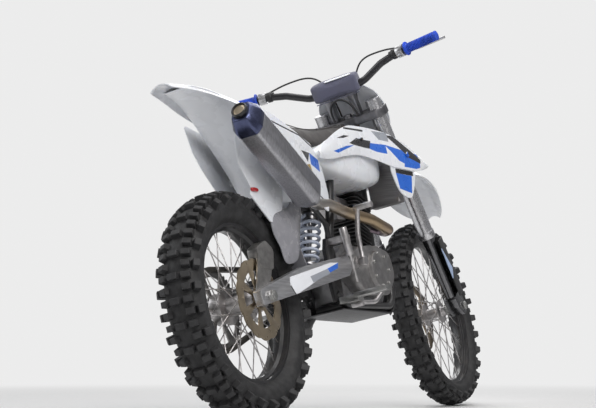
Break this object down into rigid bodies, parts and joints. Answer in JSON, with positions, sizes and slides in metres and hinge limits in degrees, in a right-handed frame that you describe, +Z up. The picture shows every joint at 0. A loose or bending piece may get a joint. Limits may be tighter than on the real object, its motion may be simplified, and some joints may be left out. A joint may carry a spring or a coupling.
{
  "type": "dirt bike",
  "caption": "White and blue dirt bike with knobbly tyres, spoked black rims, long-travel fork and a high silencer, leaning on its side stand with the bars turned slightly left",
  "frame": {"origin": "on the ground, at the middle of the footprint of the standing bike", "axes": "X to the front, Y to the rider's left, Z up"},
  "size_m": [2.121, 0.831, 1.2926],
  "materials": {
    "tyre": "matt, knobbly",
    "rim": "satin black",
    "hub": "cast and brushed",
    "disc": "brushed, with a worn band",
    "sprocket": "worn steel",
    "chain": "oiled",
    "frame_paint": "semi-gloss black",
    "swingarm": "brushed",
    "bolt": "plated",
    "shock": "satin",
    "spring": "gloss pale blue",
    "engine_case": "cast, satin grey",
    "engine_cover": "satin grey",
    "cylinder_black": "black with bright fin edges",
    "black_plastic": "moulded",
    "grey_plastic": "gloss, silver grey",
    "radiator": "satin, with black cores",
    "exhaust_pipe": "heat tinted",
    "silencer": "satin",
    "silencer_cap": "satin dark blue",
    "tank_plastic": "milky",
    "white_plastic": "gloss white with blue and black stripes",
    "seat_vinyl": "ribbed vinyl",
    "skid": "brushed",
    "caliper": "satin",
    "clamp": "satin",
    "fork_outer": "anodised silver",
    "fork_lower": "dark chrome",
    "handlebar": "satin",
    "bar_pad": "soft foam in a cloth cover",
    "grip": "ribbed, royal blue",
    "lever": "polished",
    "number_plate": "pale grey-blue"
  },
  "bodies": {
    "chassis": {"chain": "chain", "frame": "frame_paint", "subframe": "frame_paint", "swingarm": "swingarm", "rear_axle": "bolt", "shock_absorber": "shock", "shock_spring": "spring", "crankcase": "engine_case", "drive_sprocket": "sprocket", "clutch_cover": "engine_cover", "generator_cover": "engine_cover", "sprocket_cover": "black_plastic", "cylinder": "cylinder_black", "carburettor": "hub", "airbox": "black_plastic", "header_pipe": "exhaust_pipe", "silencer": "silencer", "silencer_cap": "silencer_cap", "fuel_tank": "tank_plastic", "rear_fender": "white_plastic", "seat": "seat_vinyl", "side_plates": "white_plastic", "inner_guard": "white_plastic", "mud_flap": "grey_plastic", "footpegs": "bolt", "kick_lever": "hub", "brake_pedal": "hub", "gear_lever": "hub", "rear_master_cylinder": "hub", "rear_caliper": "caliper", "stand_bracket": "frame_paint", "skid_plate": "skid", "shrouds": "white_plastic", "radiators": "radiator"},
    "steering": {"triple_clamps": "clamp", "fork_outers": "fork_outer", "fork_lowers": "fork_lower", "fork_guards": "black_plastic", "front_axle": "bolt", "front_caliper": "caliper", "handlebar": "handlebar", "bar_mounts": "clamp", "bar_pad": "bar_pad", "grips": "grip", "levers": "lever", "front_fender": "white_plastic", "number_plate": "number_plate"},
    "front_wheel": {"front_tyre": "tyre", "front_rim": "rim", "front_hub": "hub", "front_disc": "disc"},
    "rear_wheel": {"rear_tyre": "tyre", "rear_rim": "rim", "rear_hub": "hub", "rear_disc": "disc", "rear_sprocket": "sprocket"},
    "side_stand": {"side_stand": "hub"}
  },
  "joints": [
    {"name": "steering", "type": "hinge", "parent": "chassis", "child": "steering", "pos_m": [0.34546, -0.05567, 0.92502], "axis": [-0.454, 0.1853, 0.8715], "range_deg": [-44, 36]},
    {"name": "front_wheel", "type": "hinge", "parent": "steering", "child": "front_wheel", "pos_m": [0.71392, -0.17609, 0.33937], "axis": [-0.0622, 0.9692, -0.2384], "continuous": true},
    {"name": "rear_wheel", "type": "hinge", "parent": "chassis", "child": "rear_wheel", "pos_m": [-0.72596, -0.18205, 0.33042], "axis": [0, 0.9781, -0.2079], "continuous": true},
    {"name": "side_stand", "type": "hinge", "parent": "chassis", "child": "side_stand", "pos_m": [-0.13596, -0.0829, 0.28706], "axis": [0.2391, 0.9049, 0.3521], "range_deg": [0, 97]}
  ]
}
